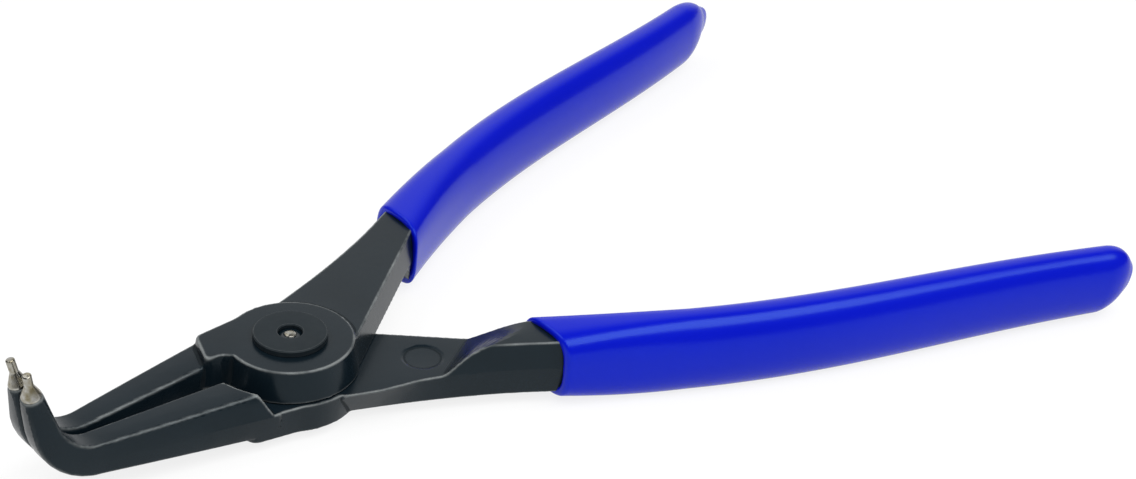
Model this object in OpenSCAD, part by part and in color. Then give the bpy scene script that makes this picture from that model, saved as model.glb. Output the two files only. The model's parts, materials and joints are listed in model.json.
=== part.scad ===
// Circlip pliers for outside retaining rings, with bent tips and dipped grips.
// X runs along the middle line, jaws at -X and handles at +X. Z is up.
// The origin is on the pivot axis, in the plane of the lower boss's outer face.
// The shapes are drawn with Z measured from the plane where the two levers meet.

/* [Joint] */
// Radius of each round boss at its outer face
boss_r = 10; // [9.5:0.1:10.5]
// Thickness of each lever at its boss
boss_t = 5.3; // [4.7:0.1:5.6]
// Extra radius of the lower boss, half of it at the plate's shoulder
foot = 0.6; // [0:0.1:0.8]
// Extra width of the web's edge at the mating plane, beside the boss
flange = 1.9; // [0:0.1:2.2]
// Draft of the forged side walls, in degrees
draft_deg = 9; // [5:0.5:11]
// Gap between the mating faces of the two levers
lap_gap = 0.1; // [0.04:0.02:0.2]
// Room between a boss and the pocket wall of the other lever
pocket_clear = 1.3; // [1:0.05:1.5]
// Distance from the pivot to the straight end wall of the pocket
pocket_x = 9.4; // [9:0.1:10.2]
// Slope of the pocket's wall, in degrees
pocket_deg = 28; // [15:1:32]
// Radius of the round stamped recess beside the joint
stamp_r = 3.3; // [2.5:0.1:3.6]
// Depth of the round stamped recess
stamp_depth = 0.25; // [0.15:0.05:0.4]

/* [Shoulder] */
// Distance from the pivot to the outer shoulder beside the jaw
shoulder_x = 12.3; // [11.8:0.1:13]
// Half width of the joint at the outer shoulder
shoulder_y = 8.5; // [8:0.1:9]
// Corner radius of the outer shoulder
shoulder_r = 1.4; // [0.8:0.1:2]
// Distance from the pivot to the inner corner of the plate
plate_x = 13.9; // [13.4:0.1:14.4]
// Distance from the middle line to the inner edge of the plate
plate_y = 1.8; // [1.6:0.1:2.4]
// Corner radius at the inner corner of the plate
plate_r = 0.95; // [0.5:0.05:1.4]
// Radius of the hollow between the plate and the boss
hollow_r = 2.5; // [1.8:0.1:3.2]

/* [Pivot] */
// Radius of the pivot pin
pin_r = 3; // [2.6:0.1:3.4]
// Radial running clearance between pin and upper lever
pin_clear = 0.03; // [0.02:0.01:0.08]
// Radius of the countersunk rivet head on the underside
rivet_r = 4.4; // [4:0.1:5]
// Depth of the countersunk rivet head
rivet_t = 1.4; // [1:0.1:1.8]
// Radius of the disc that covers the pivot
cap_r = 5.85; // [5:0.05:6.5]
// Thickness of the disc
cap_t = 1; // [0.8:0.05:1.4]
// Radius of the hole in the middle of the disc
cap_hole_r = 1.9; // [1.5:0.1:2.3]
// Gap between the disc and the upper boss
cap_gap = 0.08; // [0.04:0.02:0.15]
// Edge break of the disc
cap_edge = 0.18; // [0.1:0.02:0.3]
// Radius of the domed pin end inside the disc
dome_r = 1.05; // [0.8:0.05:1.4]

/* [Return spring] */
// Radius of the spring wire
wire_r = 0.5; // [0.4:0.05:0.6]
// Mean radius of the spring coil
coil_r = 4.9; // [4.6:0.1:5.2]
// Number of turns of the coil
coil_turns = 2.75; // [2:0.25:3]
// Distance between neighbouring turns
coil_pitch = 1.12; // [1.05:0.01:1.3]
// Length of each straight end of the spring
leg_l = 2; // [1.6:0.1:2.4]
// Room around the spring inside the joint
spring_clear = 0.2; // [0.1:0.05:0.4]

/* [Jaws] */
// Distance from the pivot to the end of the bent jaw
jaw_reach = 45.6; // [42:0.5:50]
// Height of the jaw's end above the mating plane
jaw_rise = 12.8; // [11.5:0.1:15]
// Radius of the bend along the middle of the jaw
bend_r = 8.8; // [7:0.1:9.5]
// Forward lean of the bent end, in degrees
jaw_lean = 11.5; // [6:0.1:14]
// Width of the jaw beside the joint
jaw_root_w = 7.6; // [7.2:0.1:8.2]
// Height of the jaw beside the joint
jaw_root_h = 8.7; // [8:0.1:9]
// Distance from the middle line to the jaw's inner face beside the joint
jaw_root_y = 2.6; // [2.4:0.1:3]
// Width of the jaw where the bend starts
jaw_bend_w = 4.5; // [4:0.1:4.8]
// Height of the jaw where the bend starts
jaw_bend_h = 5.6; // [4.9:0.1:6]
// Distance from the middle line to the jaw's inner face at the bend
jaw_bend_y = 0.55; // [0.3:0.05:0.8]
// Drop of the jaw's middle below the mating plane beside the joint
jaw_root_drop = 0.3; // [0.1:0.05:0.6]
// Drop of the jaw's middle below the mating plane at the bend
jaw_bend_drop = 0.4; // [0.3:0.05:1]
// Share of its half width by which the jaw's outer face leans in, beside the joint
jaw_lean_in = 0.23; // [0:0.02:0.4]
// Diameter of the jaw's round end
jaw_end_d = 3.4; // [2.9:0.1:3.6]
// Gap between the two round ends when the pliers are closed
jaw_gap = 0.3; // [0.2:0.05:0.6]

/* [Tips] */
// Diameter of the pin that enters the ring's hole
tip_d = 1.4; // [1.2:0.1:1.8]
// Length of the pin
tip_l = 2.2; // [1.8:0.1:3]
// Diameter of the tip's cone at the jaw
cone_d = 3.1; // [2.6:0.1:3.3]
// Length of the tip's cone
cone_l = 2.3; // [1.8:0.1:2.8]
// Diameter of the tip's shank inside the jaw
shank_d = 2; // [1.6:0.1:2.2]
// Length of the tip's shank inside the jaw
shank_l = 4.5; // [3:0.1:5.5]
// Outward splay of the tips, in degrees
tip_splay = 7.6; // [4:0.1:9]

/* [Handles] */
// Length of each handle along X, from the pivot
handle_l = 133.3; // [125:0.5:145]
// Spread of each handle end from the middle line
handle_spread = 55.7; // [52:0.1:60]
// Depth of the handle's outer face below the boss
face_drop = 0.4; // [0.2:0.05:0.6]
// Reach of the handle on the far side of the mating plane
back_t = 4.5; // [4.2:0.1:5]
// Width of the handle's flat face at the grip's mouth
neck_w = 6.2; // [5.6:0.1:6.6]
// Width of the handle's flat face at its hidden end
tang_w = 2.6; // [2:0.1:3]
// Run of the step up to full thickness at the outer edge
step_run_out = 2.4; // [1.8:0.1:3]
// Run of the step up to full thickness at the inner edge
step_run_in = 11.6; // [9:0.1:12]

/* [Grips] */
// Distance from the pivot to the grip's mouth along X
grip_x = 34.7; // [33:0.1:38]
// Thickness of the coat at the mouth
coat_t = 1.1; // [0.9:0.05:1.4]
// Width of the grip at mid length
grip_w = 8.5; // [7.6:0.1:8.8]
// Height of the grip at mid length
grip_h = 13.8; // [12.8:0.1:14.2]
// Width of the grip near its end
grip_end_w = 7.1; // [6.6:0.1:7.6]
// Height of the grip near its end
grip_end_h = 12.4; // [11.6:0.1:13]
// Room between the handle and the coat around it
coat_gap = 0.02; // [0.01:0.01:0.04]

/* [Hidden] */
$fn = 96;

steel_black = [0.19, 0.21, 0.24];
steel_bright = [0.75, 0.74, 0.7];
grip_blue = [0.13, 0.2, 0.77];

// Margin by which a cutting shape runs past what it cuts
past = 1;
half_gap = lap_gap / 2;
draft_run = boss_t * tan(draft_deg);
boss_root_r = boss_r + draft_run;
pocket_r = boss_root_r + pocket_clear;
face_z = boss_t - face_drop;
// Depth by which the plate and the handle run into the round boss
sink = 0.3;
join_r = boss_r - sink;
// Larger than any piece, for cuts that reach to the outside
far = 2 * handle_l;

// Point and direction of a cubic curve with four control points
function bezier(p, t) =
    pow(1 - t, 3) * p[0] + 3 * pow(1 - t, 2) * t * p[1] + 3 * (1 - t) * t * t * p[2] + pow(t, 3) * p[3];
function bezier_run(p, t) =
    3 * pow(1 - t, 2) * (p[1] - p[0]) + 6 * (1 - t) * t * (p[2] - p[1]) + 3 * t * t * (p[3] - p[2]);
function unit(v) = v / norm(v);
function left_of(v) = [-v[1], v[0]];
function mix(a, b, t) = a + (b - a) * t;
function smooth(t) = t * t * (3 - 2 * t);
function sign_pow(v, e) = sign(v) * pow(abs(v), e);

// Arc as a list of points
function arc(c, r, from, to, n) =
    [for (i = [0 : n]) c + r * [cos(mix(from, to, i / n)), sin(mix(from, to, i / n))]];

// Outline moved outwards by d, for a list that runs anticlockwise
function grow(pts, d) = let (n = len(pts)) [
    for (i = [0 : n - 1])
        let (a = left_of(unit(pts[i] - pts[(i + n - 1) % n])), b = left_of(unit(pts[(i + 1) % n] - pts[i])))
        pts[i] - d * (a + b) / (1 + a * b)
];

// Closed solid through a list of rings that all have as many points.
// Each end is a fan of triangles from its first point.
module loft(rings) {
    n = len(rings[0]);
    last = len(rings) - 1;
    sides = [
        for (k = [0 : last - 1], i = [0 : n - 1])
            let (j = (i + 1) % n, a = k * n, b = (k + 1) * n)
            each [[a + i, b + i, a + j], [a + j, b + i, b + j]]
    ];
    start = [for (i = [1 : n - 2]) [0, i, i + 1]];
    end = [for (f = start) last * n * [1, 1, 1] + [f[0], f[2], f[1]]];
    polyhedron(points = [for (r = rings) each r], faces = concat(start, end, sides));
}

// Outline at one height
function at_z(pts, z) = [for (p = pts) [p[0], p[1], z]];

// Section with rounded sides: half sizes a and b, squarer as power grows
function rounded(a, b, power, n) = [
    for (i = [0 : n - 1])
        let (t = 360 * i / n)
        [a * sign_pow(cos(t), 2 / power), b * sign_pow(sin(t), 2 / power)]
];

// Middle line of the upper handle, an S curve from the joint to the handle's end
handle_start = boss_r * [0.7, 0.03];
start_pull = handle_l * [0.4126, 0.3278];
end_pull = handle_l * [0.3451, 0.129];
handle_end = [handle_l, handle_spread];
handle_line = [handle_start, handle_start + start_pull, handle_end - end_pull, handle_end];
function time_at_x(x, lo = 0, hi = 1, n = 30) =
    n == 0 ? (lo + hi) / 2
    : let (m = (lo + hi) / 2)
      bezier(handle_line, m)[0] < x ? time_at_x(x, m, hi, n - 1) : time_at_x(x, lo, m, n - 1);
mouth_t = time_at_x(grip_x);
function handle_dir(t) = unit(bezier_run(handle_line, t));
function beside_line(t, d) = bezier(handle_line, t) + d * left_of(handle_dir(t));

// Plan of the handle at its flat face
neck_steps = 10;
tang_steps = 14;
tang_end_t = 0.93;
function tang_half(t) = mix(neck_w, tang_w, (t - mouth_t) / (tang_end_t - mouth_t)) / 2;
function tang_side(side) = [
    for (i = [0 : tang_steps])
        let (t = mix(mouth_t, tang_end_t, i / tang_steps))
        beside_line(t, side * tang_half(t))
];
neck_inner = tang_side(-1)[0];
neck_outer = tang_side(1)[0];
neck_dir = handle_dir(mouth_t);
boss_touch = atan2(neck_inner[1], neck_inner[0]) - acos(join_r / norm(neck_inner));
web_deg = 72;
web_pull = boss_r * [0.9, 0.3];
neck_pull = boss_r;
web_start = join_r * [cos(web_deg), sin(web_deg)];
outer_edge = [web_start, web_start + web_pull, neck_outer - neck_pull * neck_dir, neck_outer];
web_inner = join_r * [cos(boss_touch), sin(boss_touch)];
// Inner and outer point of the flat face at each station along the handle
stations = concat(
    [for (i = [0 : neck_steps - 1]) [mix(web_inner, neck_inner, i / neck_steps), bezier(outer_edge, i / neck_steps)]],
    [for (i = [0 : tang_steps]) [tang_side(-1)[i], tang_side(1)[i]]]
);
last_station = len(stations) - 1;
function edge_dir(edge, i) =
    unit(stations[min(i + 1, last_station)][edge] - stations[max(i - 1, 0)][edge]);
// Point of one edge moved square to it by out, and along it at the handle's end by room
function edge_point(edge, i, out, room, z) =
    let (run = edge_dir(edge, i), away = (edge == 0 ? -1 : 1) * left_of(run))
    let (p = stations[i][edge] + out * away + (i == last_station ? room : 0) * run)
    [p[0], p[1], z];

// Extra width of the outer edge, full beside the boss and gone before the step
flange_from = 1.5;
flange_to = 5;
function flange_at(i) = flange * (1 - smooth(max(0, min(1, (i - flange_from) / (flange_to - flange_from)))));

// Forged bar of web and tang, widest at the mating plane
module handle_bar(room = 0) {
    face_run = room + draft_run * face_z / boss_t;
    back_run = face_run - draft_run * back_t / boss_t;
    loft([for (i = [0 : last_station]) [
        edge_point(0, i, back_run, room, -back_t - room),
        edge_point(1, i, back_run, room, -back_t - room),
        edge_point(1, i, face_run + flange_at(i), room, 0),
        edge_point(1, i, room, room, face_z + room),
        edge_point(0, i, room, room, face_z + room),
        edge_point(0, i, face_run, room, 0)
    ]]);
}

// Plate between boss and jaw, with its outer shoulder
shoulder_mid = [shoulder_r - shoulder_x, shoulder_y - shoulder_r];
plate_mid = [plate_r - plate_x, plate_y + plate_r];
hollow_y = plate_y - hollow_r;
hollow_mid = [-sqrt(pow(join_r + hollow_r, 2) - pow(hollow_y, 2)), hollow_y];
hollow_end = atan2(-hollow_mid[1], -hollow_mid[0]);
corner_steps = 5;
shoulder_arc = [98, 168];
plate_arc = [192, 270];
hollow_top = 90;
// Point inside the boss that sees the whole outline
plate_root = [0, plate_y + plate_r];
function plate_outline(extra) = concat(
    [plate_root, [0, join_r + extra]],
    arc(shoulder_mid, shoulder_r, shoulder_arc[0], shoulder_arc[1], corner_steps),
    arc(plate_mid, plate_r, plate_arc[0], plate_arc[1], corner_steps),
    arc(hollow_mid, hollow_r, hollow_top, hollow_end, corner_steps)
);
module plate(extra) {
    loft([
        at_z(grow(plate_outline(extra / 2), draft_run + extra / 2), -half_gap),
        at_z(grow(plate_outline(extra / 2), extra / 2), boss_t - half_gap)
    ]);
}

module boss(extra) {
    cylinder(h = boss_t, r1 = boss_root_r + extra, r2 = boss_r + extra);
}

// Step from the half thick web to the full thick handle, an S in section
// Slanted on the lower lever, square to X just before the grip on the upper one
lower_step_deg = -33;
lower_step_mid = grip_x * [0.628, 0.375];
upper_step_deg = -90;
step_before = 0.4;
upper_step_mid = [grip_x - step_run_out - step_before, 0];
step_half = 7;
step_points = 8;
step_over = 0.3;
// A short S at the outer edge, a long rounder rise at the inner edge
step_round = 0.7;
function step_shape(t, inner) = mix(smooth(t), sin(90 * t), inner);
function step_ring(mid, deg, along, run, inner) =
    let (step_dir = [cos(deg), sin(deg)], step_up = left_of(step_dir), base = mid + along * step_dir)
    let (profile = concat(
        [[-far, -far], [run, -far]],
        [for (i = [step_points : -1 : 0])
            [run * i / step_points, half_gap - (back_t + step_over) * step_shape(i / step_points, inner)]],
        [[-far, half_gap]]
    ))
    [for (p = profile) [base[0] + p[0] * step_up[0], base[1] + p[0] * step_up[1], p[1]]];

// Room for the other lever, below the mating face of this one
pocket_h = 2 * boss_t;
module swing_room(mid, deg, run_in, inner) {
    translate([0, 0, half_gap - pocket_h])
        cylinder(h = pocket_h, r1 = pocket_r + pocket_h * tan(pocket_deg), r2 = pocket_r);
    intersection() {
        loft([
            step_ring(mid, deg, -far, step_run_out, 0),
            step_ring(mid, deg, -step_half, step_run_out, 0),
            step_ring(mid, deg, step_half, run_in, inner),
            step_ring(mid, deg, far, run_in, inner)
        ]);
        translate([-pocket_x, 0, half_gap])
            rotate([0, pocket_deg, 0])
                translate([0, -far, -far])
                    cube([2 * far, 2 * far, 2 * far]);
    }
}

// Bent jaw, from inside the plate to its round end
jaw_root_x = pocket_x - past;
bend_turn = 90 - jaw_lean;
bend_end = [-jaw_reach, jaw_rise]
    - (jaw_rise + jaw_bend_drop - bend_r * (1 - sin(jaw_lean))) / cos(jaw_lean) * [-sin(jaw_lean), cos(jaw_lean)];
bend_start_x = bend_end[0] + bend_r * cos(jaw_lean);
jaw_end_y = (jaw_end_d + jaw_gap) / 2;
jaw_points = 24;
jaw_square = 9;
bar_steps = 5;
bend_steps = 8;
rise_steps = 6;

// Ring of the jaw at a middle point, square to a direction turned up by turn
function jaw_ring(mid, half_w, half_h, power, turn, splay, lean_in = 0) =
    let (ahead = [-cos(turn), 0, sin(turn)], above = [sin(turn), 0, cos(turn)])
    let (side = cos(splay) * [0, 1, 0] - sin(splay) * ahead)
    [for (p = rounded(half_w, half_h, power, jaw_points))
        let (outer = p[0] < 0 ? 1 - lean_in * abs(p[1]) / half_h : 1)
        mid - p[0] * outer * side + p[1] * above];
function jaw_bar_ring(t) =
    let (w = mix(jaw_root_w, jaw_bend_w, t), h = mix(jaw_root_h, jaw_bend_h, t))
    jaw_ring([mix(-jaw_root_x, bend_start_x, t),
              mix(jaw_root_y, jaw_bend_y, t) + w / 2,
              -mix(jaw_root_drop, jaw_bend_drop, t)],
             w / 2, h / 2, jaw_square, 0, 0, jaw_lean_in * (1 - t));
// t runs from the start of the bend to the round end
function jaw_y(t) = mix(jaw_bend_y + jaw_bend_w / 2, jaw_end_y, smooth(t));
function jaw_power(t) = mix(jaw_square, 2, t);
function jaw_half(from, t) = mix(from, jaw_end_d, t) / 2;
bend_share = 0.55;
function jaw_bend_ring(i) =
    let (s = i / bend_steps, t = bend_share * s, turn = bend_turn * s)
    jaw_ring([bend_start_x - bend_r * sin(turn), jaw_y(t), bend_r * (1 - cos(turn)) - jaw_bend_drop],
             jaw_half(jaw_bend_w, t), jaw_half(jaw_bend_h, t), jaw_power(t), turn, 0);
function jaw_rise_ring(i) =
    let (s = i / rise_steps, t = mix(bend_share, 1, s), p = mix(bend_end, [-jaw_reach, jaw_rise], s))
    jaw_ring([p[0], jaw_y(t), p[1]], jaw_half(jaw_bend_w, t), jaw_half(jaw_bend_h, t),
             jaw_power(t), bend_turn, tip_splay * s);
module jaw() {
    loft(concat(
        [for (i = [0 : bar_steps]) jaw_bar_ring(i / bar_steps)],
        [for (i = [1 : bend_steps]) jaw_bend_ring(i)],
        [for (i = [1 : rise_steps]) jaw_rise_ring(i)]
    ));
}

// Places a shape drawn up Z on the axis of the upper tip
module at_tip() {
    translate([-jaw_reach, jaw_end_y, jaw_rise])
        rotate([0, -jaw_lean, 0])
            rotate([-tip_splay, 0, 0])
                children();
}

// Seats of the spring and the pin in the upper lever
leg_start = 200;
leg_end = leg_start + 360 * coil_turns;
coil_h = coil_turns * coil_pitch;
chamber_r = coil_r + wire_r + spring_clear;
chamber_depth = coil_h / 2 + wire_r + spring_clear;
leg_reach = coil_h / 2 + leg_l;
module spring_room(leg_angle) {
    translate([0, 0, -past])
        cylinder(h = chamber_depth + past, r = chamber_r);
    rotate([0, 0, leg_angle])
        translate([coil_r, 0, 0])
            cylinder(h = leg_reach + spring_clear, r = wire_r + spring_clear);
}
module bore(r) {
    translate([0, 0, -far / 2])
        cylinder(h = far, r = r);
}

// Turns a shape of the upper lever over, about X, onto the lower one
module turned_over() {
    rotate([180, 0, 0])
        children();
}
module mirrored() {
    mirror([0, 1, 0])
        children();
}
// Lifts the joint so that its underside is at zero
module lifted() {
    translate([0, 0, boss_t])
        children();
}

module forging(extra) {
    boss(extra);
    plate(extra);
    handle_bar();
}

module upper_lever() {
    color(steel_black)
        lifted() difference() {
            union() {
                forging(0);
                jaw();
            }
            swing_room(upper_step_mid, upper_step_deg, step_run_out, 0);
            bore(pin_r + pin_clear);
            spring_room(leg_end);
            at_tip() translate([0, 0, -shank_l]) cylinder(h = shank_l + past, d = shank_d);
        }
}

stamp_mid = [18.6, -9.5];
module lower_lever() {
    color(steel_black)
        lifted() difference() {
            union() {
                turned_over() forging(foot);
                mirrored() jaw();
            }
            turned_over() swing_room(lower_step_mid, lower_step_deg, step_run_in, step_round);
            bore(pin_r);
            turned_over() spring_room(-leg_start);
            translate([0, 0, -boss_t - past]) cylinder(h = rivet_t + past, r1 = rivet_r + past, r2 = pin_r);
            translate([stamp_mid[0], stamp_mid[1], -half_gap - stamp_depth])
                cylinder(h = stamp_depth + past, r = stamp_r);
            mirrored() at_tip() translate([0, 0, -shank_l]) cylinder(h = shank_l + past, d = shank_d);
        }
}

// Shouldered rivet: countersunk head below, spigot and dome in the disc above
spigot_share = 0.35;
dome_share = 0.75;
// Radius and height of the dome's edge and top, as shares
dome_edge = [0.85, 0.6];
dome_top_r = 0.4;
module pivot_pin() {
    cap_z = boss_t + cap_gap;
    spigot_z = cap_z + spigot_share * cap_t;
    dome_z = cap_z + dome_share * cap_t;
    color(steel_bright)
        lifted() rotate_extrude() polygon([
            [0, -boss_t],
            [rivet_r, -boss_t],
            [pin_r, -boss_t + rivet_t],
            [pin_r, cap_z],
            [cap_hole_r, cap_z],
            [cap_hole_r, spigot_z],
            [dome_r, spigot_z],
            [dome_r * dome_edge[0], mix(spigot_z, dome_z, dome_edge[1])],
            [dome_r * dome_top_r, dome_z],
            [0, dome_z]
        ]);
}

module joint_cap() {
    color(steel_black)
        lifted() translate([0, 0, boss_t + cap_gap]) rotate_extrude() polygon([
            [cap_hole_r, 0],
            [cap_r, 0],
            [cap_r, cap_t - cap_edge],
            [cap_r - cap_edge, cap_t],
            [cap_hole_r + cap_edge, cap_t],
            [cap_hole_r, cap_t - cap_edge]
        ]);
}

// Torsion spring around the pin, one straight end in each lever
coil_sides = 8;
coil_steps = 50;
function coil_ring(turns) =
    let (angle = leg_start + 360 * turns, out = [cos(angle), sin(angle), 0])
    [for (p = rounded(wire_r, wire_r, 2, coil_sides))
        (coil_r + p[0]) * out + [0, 0, coil_pitch * turns - coil_h / 2 - p[1]]];
module spring_leg(angle) {
    rotate([0, 0, angle])
        translate([coil_r, 0, coil_h / 2 - wire_r])
            cylinder(h = leg_l + wire_r, r = wire_r);
}
module return_spring() {
    color(steel_bright)
        lifted() {
            loft([for (i = [0 : coil_steps]) coil_ring(coil_turns * i / coil_steps)]);
            spring_leg(leg_end);
            turned_over() spring_leg(-leg_start);
        }
}

// Turned tip: shank in the jaw, cone on its end, pin for the ring
pin_edge = 0.15;
// Share of the cone's length that stays straight at the jaw
cone_land = 0.15;
module tip() {
    at_tip() rotate_extrude() polygon([
        [0, -shank_l],
        [shank_d / 2, -shank_l],
        [shank_d / 2, 0],
        [cone_d / 2, 0],
        [cone_d / 2, cone_l * cone_land],
        [tip_d / 2, cone_l],
        [tip_d / 2, cone_l + tip_l - pin_edge],
        [tip_d / 2 - pin_edge, cone_l + tip_l],
        [0, cone_l + tip_l]
    ]);
}
module upper_tip() {
    color(steel_bright) lifted() tip();
}
module lower_tip() {
    color(steel_bright) lifted() mirrored() tip();
}

// Dipped grip: rings along the handle's middle line, the first one in the plane of the mouth
grip_points = 20;
grip_steps = 20;
grip_square = 2.7;
dome_l = 5.6;
dome_t = 1 - dome_l / norm(bezier_run(handle_line, 1));
// Distance from the end, as a share of the domed length, and share of the full section
dome_profile = [[0.8, 0.975], [0.58, 0.9], [0.4, 0.78], [0.28, 0.67], [0.18, 0.57], [0.08, 0.42], [0.015, 0.22]];
mouth_share = 0.22;
mouth_w = neck_w + 2 * draft_run + 2 * coat_t;
mouth_h = face_z + back_t + 2 * coat_t;
function grip_half(at_mouth, mid, end, t) =
    let (s = (t - mouth_t) / (1 - mouth_t), flare = max(0, 1 - s / mouth_share))
    (mix(mid, end, smooth(s)) + (at_mouth - mid) * flare * flare) / 2;
function grip_ring(t, share) =
    let (s = min(1, (t - mouth_t) / (mouth_share * (1 - mouth_t))))
    let (run = handle_dir(t), turn = atan2(run[1], run[0]), square_to = turn * smooth(s))
    let (side = [-sin(square_to), cos(square_to)] / cos(turn - square_to), mid = bezier(handle_line, t))
    let (a = grip_half(mouth_w, grip_w, grip_end_w, t), b = grip_half(mouth_h, grip_h, grip_end_h, t))
    [for (p = rounded(share * a, share * b, mix(grip_square + 1, grip_square, s), grip_points))
        [mid[0] + p[0] * side[0], mid[1] + p[0] * side[1], p[1] + (face_z - back_t) / 2]];
module grip() {
    difference() {
        loft(concat(
            [for (i = [0 : grip_steps]) grip_ring(mix(mouth_t, dome_t, i / grip_steps), 1)],
            [for (d = dome_profile) grip_ring(mix(1, dome_t, d[0]), d[1])]
        ));
        handle_bar(coat_gap);
    }
}
module upper_grip() {
    color(grip_blue) lifted() grip();
}
module lower_grip() {
    color(grip_blue) lifted() turned_over() grip();
}

upper_lever();
lower_lever();
pivot_pin();
joint_cap();
return_spring();
upper_tip();
lower_tip();
upper_grip();
lower_grip();
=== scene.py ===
import json
import math

import bmesh
import bpy
import numpy as np
from bpy.props import FloatProperty, FloatVectorProperty, IntProperty, PointerProperty
from bpy.types import Operator, Panel, PropertyGroup
from mathutils import Matrix, Vector


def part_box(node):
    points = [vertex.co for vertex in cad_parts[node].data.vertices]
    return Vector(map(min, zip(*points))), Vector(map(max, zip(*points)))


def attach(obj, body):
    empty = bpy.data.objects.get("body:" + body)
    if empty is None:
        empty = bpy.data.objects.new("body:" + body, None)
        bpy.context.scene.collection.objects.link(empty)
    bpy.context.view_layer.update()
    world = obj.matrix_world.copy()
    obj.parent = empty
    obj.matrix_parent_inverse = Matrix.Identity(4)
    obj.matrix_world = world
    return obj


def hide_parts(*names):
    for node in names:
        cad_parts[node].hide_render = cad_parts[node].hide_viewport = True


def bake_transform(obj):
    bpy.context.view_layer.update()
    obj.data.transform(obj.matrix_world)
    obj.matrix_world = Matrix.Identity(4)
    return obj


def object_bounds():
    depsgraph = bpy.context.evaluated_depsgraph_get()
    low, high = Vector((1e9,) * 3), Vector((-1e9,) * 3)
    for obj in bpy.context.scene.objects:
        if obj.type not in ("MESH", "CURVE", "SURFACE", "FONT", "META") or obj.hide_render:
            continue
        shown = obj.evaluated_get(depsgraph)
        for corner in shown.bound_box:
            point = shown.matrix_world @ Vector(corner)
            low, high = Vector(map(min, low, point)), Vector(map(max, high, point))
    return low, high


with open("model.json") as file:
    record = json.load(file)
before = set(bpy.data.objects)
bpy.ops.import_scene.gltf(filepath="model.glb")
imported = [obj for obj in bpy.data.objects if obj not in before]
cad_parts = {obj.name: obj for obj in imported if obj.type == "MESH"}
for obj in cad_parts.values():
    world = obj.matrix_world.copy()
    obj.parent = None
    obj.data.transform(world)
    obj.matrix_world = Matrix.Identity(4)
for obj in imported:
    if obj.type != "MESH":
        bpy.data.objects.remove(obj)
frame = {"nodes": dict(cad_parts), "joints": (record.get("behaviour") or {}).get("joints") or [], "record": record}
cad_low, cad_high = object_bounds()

bl_info = {
    "name": "Circlip Pliers",
    "version": (1, 0, 0),
    "blender": (4, 5, 0),
    "location": "View3D > Sidebar > Pliers",
    "description": "Forgings, turned pieces, spring, dipped grips and stage of a pair of pliers",
    "category": "Object",
}

MM = 0.001
QUARTER_TURN = math.pi / 2
MOUNTS = {mount["name"]: mount for mount in frame["record"]["mounts"]}
PIVOT_Z = frame["joints"][0]["pos_m"][2]

# Distances in metres under which points are one: in a CAD mesh, and across a made mesh's seam
DOUBLES = 1e-7
SEAM = 1e-6

# Values that the meshes carry for their finishes: the edge mask for wear and painted highlight, the hollow mask
# for painted shade
WEAR_AND_GLINT = "edge_wear_and_glint"
HOLLOW_SHADE = "hollow_corner_shade"
TURN = "turn_length"


# Node arithmetic


class Field:
    """A node socket that takes part in plain arithmetic."""

    def __init__(self, tree, socket):
        self.tree = tree
        self.socket = socket

    def math(self, operation, *others, before=()):
        node = self.tree.nodes.new("ShaderNodeMath")
        node.operation = operation
        for value, socket in zip((*before, self, *others), node.inputs):
            feed(self.tree, value, socket)
        return Field(self.tree, node.outputs[0])

    def __add__(self, other):
        return self.math("ADD", other)

    def __sub__(self, other):
        return self.math("SUBTRACT", other)

    def __rsub__(self, other):
        return self.math("SUBTRACT", before=(other,))

    def __mul__(self, other):
        return self.math("MULTIPLY", other)

    __rmul__ = __mul__

    def __truediv__(self, other):
        return self.math("DIVIDE", other)

    def __rtruediv__(self, other):
        return self.math("DIVIDE", before=(other,))

    def __pow__(self, other):
        return self.math("POWER", other)

    def sin(self):
        return self.math("SINE")

    def cos(self):
        return self.math("COSINE")

    def clamped(self):
        return self.math("MINIMUM", 1.0).math("MAXIMUM", 0.0)

    def contrast(self, floor, gain):
        return ((self - floor) * gain).clamped()

    def eased(self):
        t = self.clamped()
        return t * t * (3.0 - 2.0 * t)

    def signed_power(self, exponent):
        return self.math("SIGN") * self.math("ABSOLUTE") ** exponent


def feed(tree, value, socket):
    """Links a field to a socket, or sets the socket to a plain value."""
    if isinstance(value, Field):
        tree.links.new(value.socket, socket)
    else:
        socket.default_value = value


def blend(a, b, part):
    return (b - a) * part + a


def set_inputs(tree, node, **inputs):
    """Feeds a node's inputs, named in words joined by underscores."""
    for name, value in inputs.items():
        feed(tree, value, node.inputs[name.replace("_", " ")])


def add_node(tree, kind, settings=None, **inputs):
    """New node with its settings and inputs."""
    node = tree.nodes.new(kind)
    for name, value in (settings or {}).items():
        setattr(node, name, value)
    set_inputs(tree, node, **inputs)
    return node


def add_field(tree, kind, settings=None, output=0, **inputs):
    """New node, given as the field of one of its outputs."""
    return Field(tree, add_node(tree, kind, settings, **inputs).outputs[output])


def vector_math(tree, operation, *vectors, output="Vector", **inputs):
    node = add_node(tree, "ShaderNodeVectorMath", {"operation": operation}, **inputs)
    for vector, socket in zip(vectors, node.inputs):
        feed(tree, vector, socket)
    return Field(tree, node.outputs[output])


def axes_of(tree, vector):
    """Fields of a vector's X, Y and Z."""
    node = add_node(tree, "ShaderNodeSeparateXYZ", Vector=vector)
    return [Field(tree, socket) for socket in node.outputs]


# Meshes


def new_piece(name, mesh, node):
    """Puts a finished mesh in the place of the CAD node it stands for."""
    mesh.name = name
    piece = bpy.data.objects.new(name, mesh)
    bpy.context.scene.collection.objects.link(piece)
    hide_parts(node)
    return piece


def carrier_of(mesh):
    """Passing object that carries a mesh through its modifiers."""
    carrier = bpy.data.objects.new("carrier", mesh)
    bpy.context.scene.collection.objects.link(carrier)
    return carrier


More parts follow.
